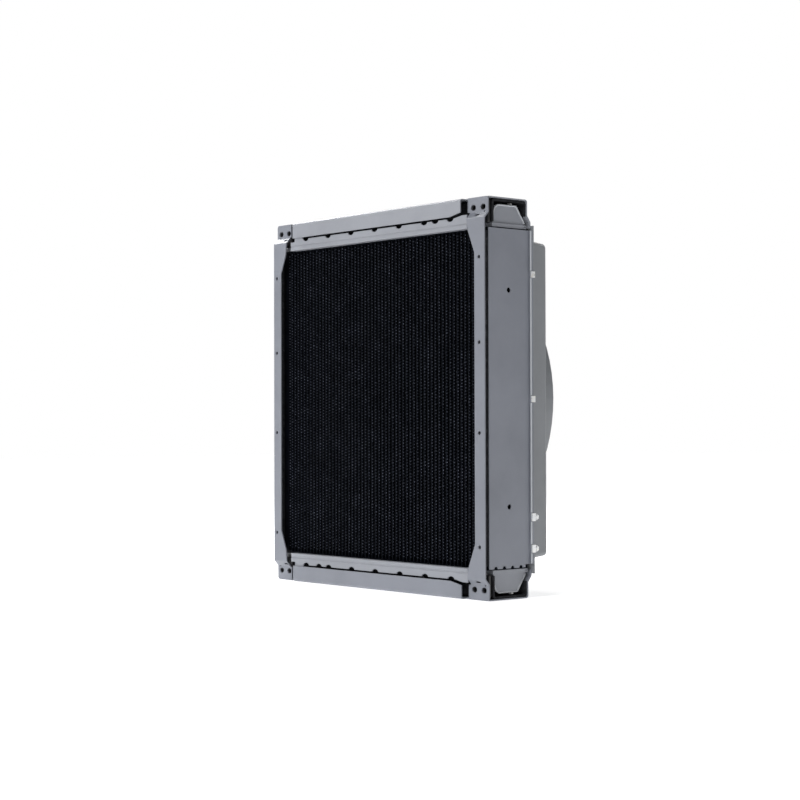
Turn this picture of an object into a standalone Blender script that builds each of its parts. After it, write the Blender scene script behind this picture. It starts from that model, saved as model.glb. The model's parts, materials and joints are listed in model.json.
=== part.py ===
"""Hydraulic oil cooler: a brazed tube-and-fin core between two tanks, in a folded sheet frame, with a
fan shroud, a fan on a hydraulic motor and a wire guard behind it.

Metres, +Z up. The core faces -Y and the fan is at +Y. The shapes are laid out in a working frame whose
Y = 0 is the face of the corner tabs and whose Z = 0 is mid-height. An empty carries them all, and puts
the origin at the centre of the face that the cooler stands on.
"""

import math

import bmesh
import bpy
from mathutils import Matrix, Vector

# Overall
HEIGHT = 0.760
WIDTH = 0.668
HALF_H = HEIGHT / 2
HALF_W = WIDTH / 2
GAP = 0.0003            # left between pieces that touch
SHEET = 0.0025
BEND = 0.0040           # bend radius at the middle of a sheet

# Guards: channels around the tanks
GUARD_FRONT = -0.0105
GUARD_REAR = 0.1015
GUARD_WALL = 0.267      # half length of the short front wall
GUARD_CORNER = 0.0024   # where the top wall starts behind the tabs
WALL_FOOT = 0.3475      # free edge of the front wall
WALL_RAMP = 0.0065      # rise of that edge at its right end
FLANGE_REAR = 0.1102    # rear face of every flange that meets the shroud
JOG_START = 0.349
JOG_END = 0.337
FLANGE_FOOT = 0.3255
RETURN_X = -0.2685      # the front wall's left end is turned back here
FOAM = 0.004
FOAM_FRONT = 0.0135     # middle of the strip that hangs in front of the tank
FOAM_FRONT_FOOT = 0.3335
FOAM_FOOT = 0.3475
RETURN_LAP = 0.0125     # how far the turned-back end laps the wall

# Front bands
BAND_FRONT = -0.0072
BAND_LEFT = -0.278
BAND_RIGHT = 0.282
BAND_LOW = 0.3215
BAND_TOP = 0.3442
BAND_LEFT_TOP = 0.3395
BAND_RISE = 0.004       # the right end's upper edge is this much higher
BRIDGE = (-0.2640, -0.2355)   # a lug of the band laps behind the wall here
LAP = 0.009
RAMP = (0.2343, 0.268)
NOTCH_PITCH = 0.0765
NOTCH_SHIFT = 0.0048
NOTCH_HALF = 0.0095
NOTCH_DEPTH = 0.0055
EXTRA_NOTCH = 0.186
GROOVE_Z = 0.3302
GROOVE = 0.0030
GROOVE_DEPTH = 0.0009

# Front strips and their corner tabs
STRIP_FRONT = -0.0105
TAB_FRONT = -0.0005
STRIP_INNER = {"right": 0.3063, "left": 0.3092}
GUSSET = {"right": ((0.3063, 0.275), (0.2875, 0.320), (0.2842, 0.340), (0.2842, 0.3515)),
          "left": ((0.3092, 0.275), (0.2925, 0.315), (0.2900, 0.340), (0.2900, 0.3515))}
JOGGLE = (0.3395, 0.3500)
TAB_INNER = {"right": 0.2775, "left": 0.2850}
TAB_CORNER = 0.005
TAB_HOLES = (0.2935, 0.3203)
TAB_HOLE_Z = 0.3606
TAB_HOLE_R = 0.0055
TAB_HOLE_STRETCH = 0.0016
TAB_SLOT = {"right": (0.3030, 0.3155), "left": (0.2925, 0.3040)}
TAB_SLOT_Z = (0.3441, 0.3469)
TAB_PIN = (0.3245, 0.3515, 0.0018)   # a pin hole beside each slot: x, z, radius
STRIP_HOLES = (0.2655, 0.1052, -0.0652, -0.2793)
STRIP_HOLE_X = {"right": 0.3190, "left": 0.3240}
STRIP_HOLE_R = 0.0038
NUT_PLATE = 0.005
NUT_PLATE_X = {"right": (0.2845, 0.3305), "left": (0.2865, 0.3305)}
NUT_PLATE_Z = (0.3305, 0.3745)
NUT_BORE_R = 0.0050

# Side panels
PANEL_FRONT = 0.0016
PANEL_HALF_H = 0.3212
PANEL_FLANGE = 0.0060    # how far the rear edge is turned outwards
PANEL_RELIEF = 0.094    # the foot is cut back behind this
PANEL_RELIEF_HIGH = 0.006
PANEL_HOLE = (0.0527, 0.205)
PANEL_HOLE_R = 0.005
PANEL_NOTCHES = (0.0180, 0.0397, 0.0610, 0.0828)
PANEL_NOTCH_R = 0.0050

# Core
TUBES = 55
TUBE_PITCH = 0.01086
TUBE_WIDE = 0.0028
CORE_FRONT = 0.007
CORE_REAR = 0.094
CORE_HALF_H = 0.318
HEADER_THICK = 0.0055
SIDE_BAR = (0.3050, 0.3270)
FIN_WEB = 0.0010

# Tanks
TANK_HALF = 0.3215
TANK_SECTION = ((0.0185, 0.3290), (0.0215, 0.3530), (0.0260, 0.3625), (0.0335, 0.3662),
                (0.0802, 0.3662), (0.1019, 0.3345), (0.1019, 0.3290))
TANK_HOLLOW = ((0.0225, 0.3200), (0.0255, 0.3500), (0.0350, 0.3622), (0.0780, 0.3622),
               (0.0969, 0.3320), (0.0969, 0.3200))
TANK_FLANGE = (0.3290, 0.0145, 0.1045, 0.3238, 0.3312)   # half length, front, back, low, high
FLANGE_HOLE = (0.1005, 0.3276, 0.0016)
END_PLATE = 0.0032
END_SECTION = ((0.0190, 0.3316), (0.0218, 0.3527), (0.0262, 0.3621), (0.0336, 0.3658),
               (0.0800, 0.3658), (0.1015, 0.3344), (0.1015, 0.3316))
PLUG = (0.3140, 0.0740, 0.3665)
PLUG_COLLAR = (0.0056, 0.0014)   # radius, height
PLUG_HEAD = (0.0048, 0.0050)
PORT_Y = 0.052
PORT_Z = 0.3490
PORT_R = 0.0155
PORT_BORE = 0.0110
PORT_LONG = 0.014

# Shroud and fan ring
SHROUD_SHEET = 0.0025
SHROUD_FLANGE = (0.340, 0.332)
SHROUD_MOUTH = (0.3315, 0.3055)
SHROUD_BACK = (0.3230, 0.3012)
SHROUD_REAR = 0.1650
SHROUD_Z = -0.0015
SHROUD_EDGE = 0.008
RING_R = 0.289
RING_WALL = 0.0025
RING_REAR = 0.216
FAN_Z = 0.002

# Fan
BLADES = 7
HUB_R = 0.082
TIP_R = 0.279
FAN_Y = 0.186
SHAFT_R = 0.010

SHAFT_THREAD_R = 0.008
CLAMP = (0.028, -0.0085)         # radius, front face
SHAFT_TIP = -0.022
SHAFT_NUT = (0.0150, 0.010)      # radius over its corners, thickness
HUB_PROFILE = ((0.0102, -0.004), (0.030, -0.004), (0.030, 0.004), (0.066, 0.010), (0.074, -0.021),
               (HUB_R, -0.021), (HUB_R, 0.021), (0.070, 0.021), (0.034, 0.016), (0.0102, 0.016))
HUB_FRONT = -0.004

# Motor, bracket and guard
GUARD_WIRE = 0.0015
GUARD_RINGS = 6
GUARD_Y = 0.2145
BRACKET_Y = 0.2167
BRACKET_THICK = 0.005
ARM_WIDE = 0.028
BRACKET_PLATE_R = 0.070
MOTOR_Y = BRACKET_Y + BRACKET_THICK + GAP
MOTOR_BODY = (0.042, 0.047, 0.018)   # half width, half height, corner radius
MOTOR_FLANGE = (0.050, 0.050, 0.014)
MOTOR_FLANGE_THICK = 0.022
MOTOR_HOUSING_LONG = 0.050
MOTOR_COVER_LONG = 0.018
PILOT_R = 0.0250
MOTOR_PORT = (0.0150, 0.0085, 0.014)   # outer radius, bore radius, length

# Zinc clips over the edges of the side panels' and the shroud's flanges
CLIP_SHEET = 0.0012
CLIP_LIP = 0.3380          # how far in the front lip reaches
CLIP_X = (0.3352, 0.3417)   # reach of the rear tongue, outer face
CLIP_SPOTS = (0.237, -0.001, -0.2262, -0.2862)
CLIP_SCREW_X = 0.3378
CLIP_SCREW_R = 0.0030
CLIP_HALF = {"small": 0.0060, "large": 0.0075}
CLIP_SCREW_LONG = 0.0080
CLIP_NUT = (0.0060, 0.0035, 0.0035)   # radius, thickness, distance along the screw

BODY = "oil_cooler"


# ---------------------------------------------------------------- scene, materials and placing

def clear_scene():
    for found in list(bpy.data.objects):
        bpy.data.objects.remove(found, do_unlink=True)


def new_collection(name):
    made = bpy.data.collections.new(name)
    bpy.context.scene.collection.children.link(made)
    return made


def new_material(name, colour, roughness, metallic):
    made = bpy.data.materials.new(name)
    made.use_nodes = True
    shader = made.node_tree.nodes["Principled BSDF"]
    shader.inputs["Base Color"].default_value = (*colour, 1.0)
    shader.inputs["Roughness"].default_value = roughness
    shader.inputs["Metallic"].default_value = metallic
    return made


clear_scene()
PARTS = new_collection(BODY)
CUTTERS = new_collection(BODY + "_cutters")
ORIGIN = bpy.data.objects.new("cooler_frame", None)
ORIGIN.location = (0, -(GUARD_FRONT + GUARD_REAR) / 2, HALF_H)
PARTS.objects.link(ORIGIN)
FAN_AXIS = bpy.data.objects.new("fan_axis", None)
FAN_AXIS.location = (0, FAN_Y, FAN_Z)
FAN_AXIS.parent = ORIGIN
PARTS.objects.link(FAN_AXIS)

PAINT = new_material("grey_paint", (0.26, 0.27, 0.30), 0.45, 0.0)
SHROUD_PAINT = new_material("shroud_paint", (0.27, 0.285, 0.30), 0.5, 0.0)
CORE_BLACK = new_material("core_black", (0.012, 0.012, 0.014), 0.55, 0.0)
FIN_BLACK = new_material("fin_black", (0.02, 0.02, 0.022), 0.4, 0.2)
ZINC = new_material("zinc", (0.75, 0.76, 0.78), 0.3, 1.0)
FAN_PLASTIC = new_material("fan_plastic", (0.02, 0.02, 0.022), 0.5, 0.0)
CAST = new_material("cast_metal", (0.30, 0.31, 0.32), 0.5, 0.8)
STEEL = new_material("shaft_steel", (0.55, 0.56, 0.58), 0.25, 1.0)
BLACK_STEEL = new_material("black_steel", (0.02, 0.02, 0.02), 0.4, 0.3)
FOAM_BLACK = new_material("foam_black", (0.02, 0.02, 0.022), 0.95, 0.0)


def place(name, mesh, material, parent=ORIGIN, location=(0, 0, 0)):
    """A part's object, in its collection and under the frame's empty."""
    obj = bpy.data.objects.new(name, mesh)
    mesh.materials.clear()
    mesh.materials.append(material)
    PARTS.objects.link(obj)
    obj.parent = parent
    obj.location = location
    return obj


def cutter(name, mesh, parent=ORIGIN, location=(0, 0, 0)):
    obj = bpy.data.objects.new(name, mesh)
    CUTTERS.objects.link(obj)
    obj.parent = parent
    obj.location = location
    obj.hide_render = True
    obj.display_type = "WIRE"
    return obj


def boolean(obj, other, operation):
    step = obj.modifiers.new(operation.lower(), "BOOLEAN")
    step.operation = operation
    step.solver = "EXACT"
    step.object = other


def cut(obj, other):
    boolean(obj, other, "DIFFERENCE")


def join(obj, other):
    boolean(obj, other, "UNION")


def smooth(mesh, angle=35):
    mesh.shade_smooth()
    mesh.set_sharp_from_angle(angle=math.radians(angle))
    return mesh


# ---------------------------------------------------------------- basic meshes

def mesh_from(build, name):
    """A mesh from a function that fills a bmesh."""
    work = bmesh.new()
    build(work)
    bmesh.ops.recalc_face_normals(work, faces=work.faces)
    made = bpy.data.meshes.new(name)
    work.to_mesh(made)
    work.free()
    return made


def add_box(work, low, high):
    low, high = Vector(low), Vector(high)
    size = high - low
    matrix = Matrix.Translation((low + high) / 2) @ Matrix.Diagonal((*size, 1))
    return bmesh.ops.create_cube(work, size=1, matrix=matrix)["verts"]


def boxes(name, pairs):
    def build(work):
        for low, high in pairs:
            add_box(work, low, high)
    return mesh_from(build, name)


TURN_TO = {"X": Matrix.Rotation(math.pi / 2, 4, "Y"), "Y": Matrix.Rotation(-math.pi / 2, 4, "X"),
           "Z": Matrix.Identity(4)}


def add_rod(work, centre, radius, length, axis, segments=24, far_radius=None):
    """A cylinder or cone about an axis: radius at its low end, far_radius at its high end."""
    matrix = Matrix.Translation(centre) @ TURN_TO[axis]
    far = radius if far_radius is None else far_radius
    return bmesh.ops.create_cone(work, cap_ends=True, segments=segments, radius1=radius, radius2=far,
                                 depth=length, matrix=matrix)["verts"]


def rods(name, specs, axis, segments=24):
    def build(work):
        for centre, radius, length in specs:
            add_rod(work, centre, radius, length, axis, segments)
    return mesh_from(build, name)


# Where an outline's own x and y go: a front plate lies in XZ, a section or side plate in YZ.
FLAT = Matrix.Identity(4)
FRONT_PLATE = Matrix(((1, 0, 0, 0), (0, 0, -1, 0), (0, 1, 0, 0), (0, 0, 0, 1)))
SIDE_PLATE = Matrix(((0, 0, 1, 0), (1, 0, 0, 0), (0, 1, 0, 0), (0, 0, 0, 1)))


def outline_mesh(name, rings, low, high, turn):
    """A flat outline (a list of closed rings, the first one outside) extruded from low to high."""
    curve = bpy.data.curves.new(name, "CURVE")
    curve.dimensions = "2D"
    curve.fill_mode = "BOTH"
    curve.extrude = (high - low) / 2
    for ring in rings:
        spline = curve.splines.new("POLY")
        spline.points.add(len(ring) - 1)
        for point, (x, y) in zip(spline.points, ring):
            point.co = (x, y, 0, 1)
        spline.use_cyclic_u = True
    guide = bpy.data.objects.new(name + "_outline", curve)
    CUTTERS.objects.link(guide)
    bpy.context.view_layer.update()
    evaluated = guide.evaluated_get(bpy.context.evaluated_depsgraph_get())
    made = bpy.data.meshes.new_from_object(evaluated)
    bpy.data.objects.remove(guide, do_unlink=True)
    work = bmesh.new()
    work.from_mesh(made)
    bmesh.ops.remove_doubles(work, verts=work.verts, dist=1e-6)
    middle = (low + high) / 2
    if turn is FRONT_PLATE:
        middle = -middle
    bmesh.ops.transform(work, matrix=turn @ Matrix.Translation((0, 0, middle)), verts=work.verts)
    bmesh.ops.recalc_face_normals(work, faces=work.faces)
    work.to_mesh(made)
    work.free()
    return made


def arc(centre, radius, start, end, steps):
    """Points on an arc, angles in degrees."""
    for i in range(steps + 1):
        a = math.radians(start + (end - start) * i / steps)
        yield centre[0] + radius * math.cos(a), centre[1] + radius * math.sin(a)


def rounded(points, radius, steps=3, closed=False):
    """The polyline with its inner corners rounded."""
    out = []
    count = len(points)
    for i, point in enumerate(points):
        if not closed and i in (0, count - 1):
            out.append(point)
            continue
        here = Vector(point)
        before = (Vector(points[i - 1]) - here).normalized()
        after = (Vector(points[(i + 1) % count]) - here).normalized()
        half = before.angle(after) / 2
        reach = radius / math.tan(half)
        centre = here + (before + after).normalized() * (radius / math.sin(half))
        first = here + before * reach - centre
        last = here + after * reach - centre
        swing = first.angle_signed(last)
        for k in range(steps + 1):
            turned = Matrix.Rotation(-swing * k / steps, 2) @ first
            out.append(tuple(centre + turned))
    return out


def sheet_outline(path, thickness):
    """The closed outline of a sheet whose middle follows an open path."""
    left, right = [], []
    for i, point in enumerate(path):
        here = Vector(point)
        ways = []
        if i > 0:
            ways.append((here - Vector(path[i - 1])).normalized())
        if i < len(path) - 1:
            ways.append((Vector(path[i + 1]) - here).normalized())
        way = sum(ways, Vector((0, 0))).normalized()
        normal = Vector((-way.y, way.x)) * (thickness / 2) / max(way.dot(ways[0]), 0.3)
        left.append(tuple(here + normal))
        right.append(tuple(here - normal))
    return left + right[::-1]


def mirrored_z(mesh, name):
    """A copy of the mesh, upside down."""
    work = bmesh.new()
    work.from_mesh(mesh)
    bmesh.ops.scale(work, vec=(1, 1, -1), verts=work.verts)
    bmesh.ops.reverse_faces(work, faces=work.faces)
    made = bpy.data.meshes.new(name)
    work.to_mesh(made)
    work.free()
    return made


def level(end):
    """+1 at the top of the cooler, -1 at the bottom."""
    return 1 if end == "top" else -1


def hand(side):
    """+1 on the right of the cooler, -1 on the left."""
    return 1 if side == "right" else -1


def both_ends(mesh, end):
    return mesh if end == "top" else mirrored_z(mesh, mesh.name + "_down")


# ---------------------------------------------------------------- guards and front bands

def guard(end):
    """A folded channel around a tank. Its front wall stops short of the corner tabs."""
    mid = SHEET / 2
    path = ((GUARD_FRONT + mid, WALL_FOOT), (GUARD_FRONT + mid, HALF_H - mid),
            (GUARD_REAR - mid, HALF_H - mid), (GUARD_REAR - mid, JOG_START),
            (FLANGE_REAR - mid, JOG_END), (FLANGE_REAR - mid, FLANGE_FOOT))
    section = sheet_outline(rounded(path, BEND), SHEET)
    channel = outline_mesh(end + "_guard", [section], -HALF_W, HALF_W, SIDE_PLATE)
    obj = place(end + "_guard", both_ends(channel, end), PAINT)
    far = HALF_W + 0.01
    corners = boxes(end + "_guard_corners", [((x0, -0.03, 0.330), (x1, GUARD_CORNER, HALF_H + 0.01))
                                             for x0, x1 in ((-far, -GUARD_WALL), (GUARD_WALL, far))])
    cut(obj, cutter(end + "_guard_corners", both_ends(corners, end)))
    ramp = ((RAMP[0], WALL_FOOT - 0.0001), (RAMP[1] + 0.01, WALL_FOOT - 0.0001),
            (RAMP[1] + 0.01, WALL_FOOT + WALL_RAMP), (RAMP[1], WALL_FOOT + WALL_RAMP))
    wedge = outline_mesh(end + "_guard_ramp", [ramp], -0.03, 0.001, FRONT_PLATE)
    cut(obj, cutter(end + "_guard_ramp", both_ends(wedge, end)))
    front = GUARD_FRONT + mid
    fold = rounded([(RETURN_X + RETURN_LAP, front), (RETURN_X, front), (RETURN_X, -0.0010)], 0.0045, 4)
    edge = sheet_outline(fold, SHEET - 0.0002)
    wrap = outline_mesh(end + "_guard_return", [edge], WALL_FOOT + 0.0006, HALF_H - 0.006, FLAT)
    join(obj, cutter(end + "_guard_return", both_ends(wrap, end)))
    smooth(obj.data)
    return obj


def foam(end):
    """The foam that lines a guard's long wall and its back, and closes the gap in front of the tank."""
    inset = SHEET + GAP + FOAM / 2
    path = ((FOAM_FRONT, FOAM_FRONT_FOOT), (FOAM_FRONT, HALF_H - inset),
            (GUARD_REAR - inset, HALF_H - inset), (GUARD_REAR - inset, FOAM_FOOT))
    section = sheet_outline(rounded(path, 0.005), FOAM)
    lining = outline_mesh(end + "_foam", [section], -HALF_W + 0.0015, HALF_W - 0.0015, SIDE_PLATE)
    return place(end + "_foam", both_ends(lining, end), FOAM_BLACK)


def half_notch(x):
    """The points round one half-oval notch in the band's upper edge, from its right end to its left."""
    for i in range(9):
        a = math.pi * i / 8
        yield x + NOTCH_HALF * math.cos(a), BAND_TOP - NOTCH_DEPTH * math.sin(a)


def front_band(end):
    """The notched cover in front of a header: a plate with a groove, and a lip turned back to the core."""
    notches = sorted([NOTCH_PITCH * k for k in range(-3, 4)] + [EXTRA_NOTCH * level(end)])
    ring = [(BAND_LEFT, BAND_LOW), (BAND_RIGHT, BAND_LOW), (BAND_RIGHT, BAND_TOP + BAND_RISE),
            (RAMP[1], BAND_TOP + BAND_RISE), (RAMP[0] + NOTCH_HALF + 0.001, BAND_TOP)]
    for x in reversed(notches):
        ring += half_notch(x + NOTCH_SHIFT)
    ring += [(BRIDGE[1], BAND_TOP), (BRIDGE[1], WALL_FOOT + LAP), (BRIDGE[0], WALL_FOOT + LAP),
             (BRIDGE[0], BAND_LEFT_TOP), (BAND_LEFT, BAND_LEFT_TOP)]
    plate = outline_mesh(end + "_band", [ring], BAND_FRONT, BAND_FRONT + SHEET, FRONT_PLATE)
    obj = place(end + "_front_band", both_ends(plate, end), PAINT)
    lip = boxes(end + "_band_lip", [((BAND_LEFT, BAND_FRONT + SHEET / 2, BAND_LOW),
                                     (BAND_RIGHT, CORE_FRONT + 0.001, BAND_LOW + SHEET - 0.0005))])
    join(obj, cutter(end + "_band_lip", both_ends(lip, end)))
    groove = boxes(end + "_band_groove", [((-HALF_W, -0.03, GROOVE_Z - GROOVE / 2),
                                           (HALF_W, BAND_FRONT + GROOVE_DEPTH, GROOVE_Z + GROOVE / 2))])
    cut(obj, cutter(end + "_band_groove", both_ends(groove, end)))
    return obj


# ---------------------------------------------------------------- front strips and side panels

def strip_outline(side):
    """Front view of a strip with its gussets and tabs, on the right-hand side of the cooler."""
    inner = TAB_INNER[side]
    upper = [(STRIP_INNER[side], 0)] + list(GUSSET[side])
    upper += [(inner, GUSSET[side][-1][1] + 0.0010), (inner, HALF_H)]
    corner = (HALF_W - TAB_CORNER, HALF_H - TAB_CORNER)
    upper += arc(corner, TAB_CORNER, 90, 0, 4)
    lower = [(x, -z) for x, z in reversed(upper)]
    return (upper + lower)[:-1]


def front_strip(side):
    """A strip that stands proud of its tabs, bent from one sheet."""
    mid = SHEET / 2
    half = [(STRIP_FRONT + mid, 0), (STRIP_FRONT + mid, JOGGLE[0]), (TAB_FRONT + mid, JOGGLE[1]),
            (TAB_FRONT + mid, HALF_H)]
    path = [(y, -z) for y, z in reversed(half)][:-1] + half[1:]
    section = sheet_outline(rounded(path, BEND, 2), SHEET)
    sign = hand(side)
    low, high = sorted((sign * 0.270, sign * (HALF_W + 0.002)))
    bent = outline_mesh("strip_" + side, [section], low, high, SIDE_PLATE)
    obj = place("front_strip_" + side, bent, PAINT)
    ring = [(sign * x, z) for x, z in strip_outline(side)]
    blank = outline_mesh("blank_" + side, [ring], -0.02, 0.01, FRONT_PLATE)
    boolean(obj, cutter("strip_blank_" + side, blank), "INTERSECT")
    drills = [((sign * STRIP_HOLE_X[side], -0.009, z), STRIP_HOLE_R, 0.03) for z in STRIP_HOLES]
    pin_x, pin_z, pin_r = TAB_PIN
    drills += [((sign * pin_x, 0, z), pin_r, 0.03) for z in (pin_z, -pin_z)]
    cut(obj, cutter("strip_drills_" + side, rods("drills_" + side, drills, "Y", 20)))
    holes = [oblong(sign * x, z) for x in TAB_HOLES for z in (TAB_HOLE_Z, -TAB_HOLE_Z)]
    punch = outline_mesh("tab_holes_" + side, holes, -0.02, 0.02, FRONT_PLATE)
    cut(obj, cutter("tab_holes_" + side, punch))
    low, high = sorted(sign * x for x in TAB_SLOT[side])
    slots = boxes("slots_" + side, [((low, -0.02, min(z0, z1)), (high, 0.02, max(z0, z1)))
                                    for z0, z1 in (TAB_SLOT_Z, [-z for z in TAB_SLOT_Z])])
    cut(obj, cutter("strip_slots_" + side, slots))
    return obj


def oblong(x, z):
    """The outline of one slightly oblong bolt hole."""
    return (list(arc((x + TAB_HOLE_STRETCH, z), TAB_HOLE_R, -90, 90, 10))
            + list(arc((x - TAB_HOLE_STRETCH, z), TAB_HOLE_R, 90, 270, 10)))


def nut_plate(end, side):
    """The tapped plate behind a tab's two holes."""
    sign = hand(side)
    x0, x1 = NUT_PLATE_X[side]
    z0, z1 = NUT_PLATE_Z
    block = rounded([(x0, z0), (x1, z0), (x1, z1), (x0, z1)], 0.003, 3, closed=True)
    rings = [block] + [list(arc((x, TAB_HOLE_Z), NUT_BORE_R, 0, 342, 19)) for x in TAB_HOLES]
    rings = [[(sign * x, z) for x, z in ring] for ring in rings]
    front = TAB_FRONT + SHEET + GAP
    plate = outline_mesh("nut_plate", rings, front, front + NUT_PLATE, FRONT_PLATE)
    return place("_".join(("nut_plate", end, side)), smooth(both_ends(plate, end)), BLACK_STEEL)


def side_panel(side):
    """A side plate with its rear edge turned outwards: two holes, and notches along its foot."""
    sign = hand(side)
    mid = SHEET / 2
    path = [(HALF_W - mid, PANEL_FRONT), (HALF_W - mid, FLANGE_REAR - mid),
            (HALF_W + PANEL_FLANGE, FLANGE_REAR - mid)]
    ring = [(sign * x, y) for x, y in sheet_outline(rounded(path, BEND / 2), SHEET)]
    plate = outline_mesh("panel_" + side, [ring], -PANEL_HALF_H, PANEL_HALF_H, FLAT)
    obj = place("side_panel_" + side, plate, PAINT)
    foot = -PANEL_HALF_H
    relief = boxes("panel_relief_" + side, [((-HALF_W - 0.01, PANEL_RELIEF, foot - 0.01),
                                             (HALF_W + 0.01, FLANGE_REAR + 0.01, foot + PANEL_RELIEF_HIGH))])
    cut(obj, cutter("panel_relief_" + side, relief))
    y, high = PANEL_HOLE
    drills = [((sign * HALF_W, y, z), PANEL_HOLE_R, 0.02) for z in (high, -high)]
    drills += [((sign * HALF_W, y, -PANEL_HALF_H), PANEL_NOTCH_R, 0.02) for y in PANEL_NOTCHES]
    cut(obj, cutter("panel_drills_" + side, rods("panel_holes_" + side, drills, "X", 24)))
    return obj


# ---------------------------------------------------------------- core

def tube_places():
    first = -(TUBES - 1) / 2
    return [TUBE_PITCH * (first + i) for i in range(TUBES)]


def tube_bank():
    """The oil tubes, brazed at both ends into the header plates."""
    half = TUBE_WIDE / 2
    top = CORE_HALF_H + 0.001
    tubes = boxes("tubes", [((x - half, CORE_FRONT, -top), (x + half, CORE_REAR, top))
                            for x in tube_places()])
    obj = place("tube_bank", tubes, CORE_BLACK)
    wide, front, back = TANK_FLANGE[0], CORE_FRONT + 0.0045, CORE_REAR + 0.010
    for sign in (1, -1):
        low, high = sorted((sign * CORE_HALF_H, sign * (CORE_HALF_H + HEADER_THICK)))
        plate = boxes("header_plate", [((-wide, front, low), (wide, back, high))])
        join(obj, cutter("header_plate_%d" % sign, plate))
    return obj


def fin_pack():
    """The fins between the tubes, held together behind the tubes by thin braze strips."""
    edge = 0.0015
    webs = [x + TUBE_PITCH / 2 for x in tube_places()[:-1]]
    webs = [-TUBE_PITCH * TUBES / 2] + webs + [TUBE_PITCH * TUBES / 2]
    half = FIN_WEB / 2
    top = CORE_HALF_H - GAP
    pairs = [((x - half, CORE_FRONT + edge, -top), (x + half, CORE_REAR + 0.0015, top)) for x in webs]
    obj = place("fin_pack", boxes("fins", pairs), FIN_BLACK)
    reach = TUBE_PITCH * TUBES / 2 + half
    ties = boxes("fin_ties", [((-reach, CORE_REAR + GAP, z - 0.003), (reach, CORE_REAR + 0.0013, z + 0.003))
                              for z in (0.003 - top, top - 0.003)])
    join(obj, cutter("fin_ties", ties))
    return obj


def core_side(side):
    """The bar that closes one side of the core: a channel section, open outwards."""
    sign = hand(side)
    low, high = sorted((sign * SIDE_BAR[0], sign * SIDE_BAR[1]))
    top = CORE_HALF_H - GAP
    bar = boxes("core_side_" + side, [((low, CORE_FRONT, -top), (high, CORE_REAR, top))])
    obj = place("core_side_" + side, bar, CORE_BLACK)
    low, high = sorted((sign * (SIDE_BAR[1] + 0.001), sign * (SIDE_BAR[0] + 0.004)))
    hollow = boxes("core_side_hollow_" + side, [((low, CORE_FRONT + 0.004, -CORE_HALF_H - 0.001),
                                                 (high, CORE_REAR - 0.004, CORE_HALF_H + 0.001))])
    cut(obj, cutter("core_side_hollow_" + side, hollow))
    return obj


# ---------------------------------------------------------------- tanks and their fittings

def tank(end):
    """A tank shell, open towards the core, on a flange that is longer than its body."""
    outer = rounded(TANK_SECTION, 0.0015, 2, closed=True)
    body = outline_mesh(end + "_tank", [outer], -TANK_HALF, TANK_HALF, SIDE_PLATE)
    obj = place(end + "_tank", both_ends(body, end), PAINT)
    half, front, back, low, high = TANK_FLANGE
    foot = boxes(end + "_tank_flange", [((-half, front, low), (half, back, high))])
    join(obj, cutter(end + "_tank_flange", both_ends(foot, end)))
    reach = TANK_HALF + 0.0002
    hollow = outline_mesh(end + "_tank_hollow", [TANK_HOLLOW], -reach, reach, SIDE_PLATE)
    cut(obj, cutter(end + "_tank_hollow", both_ends(hollow, end)))
    y, z, radius = FLANGE_HOLE
    pins = rods(end + "_flange_holes", [((x, y, z), radius, 0.010) for x in (-half, half)], "X", 12)
    cut(obj, cutter(end + "_flange_holes", both_ends(pins, end)))
    smooth(obj.data, 40)
    return obj


def tank_end(end, side):
    """The plate welded on one end of a tank."""
    sign = hand(side)
    low, high = sorted((sign * (TANK_HALF + GAP), sign * (TANK_HALF + GAP + END_PLATE)))
    ring = rounded(END_SECTION, 0.0012, 2, closed=True)
    plate = outline_mesh("tank_end", [ring], low, high, SIDE_PLATE)
    return place("_".join((end, "tank_end", side)), both_ends(plate, end), PAINT)


def oil_port(name, end):
    """A threaded boss on the left end of a tank, bored through."""
    start = -(TANK_HALF + GAP + END_PLATE + GAP)
    z = level(end) * PORT_Z
    boss = rods(name, [((start - PORT_LONG / 2, PORT_Y, z), PORT_R, PORT_LONG)], "X", 32)
    obj = place(name, smooth(boss), PAINT)
    bore = rods(name + "_bore", [((start - PORT_LONG / 2, PORT_Y, z), PORT_BORE, PORT_LONG * 2)], "X", 32)
    cut(obj, cutter(name + "_bore", bore))
    return obj


def tank_plug(name, end):
    """A hexagonal plug with a round collar, in the outer face of a tank near its right end."""
    x, y, z = PLUG
    way = level(end)
    radius, high = PLUG_COLLAR
    collar = rods(name, [((x, y, way * (z + high / 2)), radius, high)], "Z", 24)
    obj = place(name, collar, ZINC)
    radius, long = PLUG_HEAD
    head = rods(name + "_head", [((x, y, way * (z + high - 0.0008 + long / 2)), radius, long)], "Z", 6)
    join(obj, cutter(name + "_head", head))
    return obj


# ---------------------------------------------------------------- shroud and ring

def frustum(name, front_y, front, rear_y, rear, edge):
    """A four-sided box that narrows towards the back, its long and rear edges rounded."""
    def build(work):
        verts = add_box(work, (-1, front_y, -1), (1, rear_y, 1))
        for vert in verts:
            wide, high = front if abs(vert.co.y - front_y) < 1e-6 else rear
            vert.co.x *= wide
            vert.co.z *= high
        if edge:
            rim = [e for e in work.edges if max(v.co.y for v in e.verts) > (front_y + rear_y) / 2]
            bmesh.ops.bevel(work, geom=rim, offset=edge, segments=4, profile=0.5, affect="EDGES",
                            offset_type="OFFSET", clamp_overlap=True)
    return mesh_from(build, name)


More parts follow.
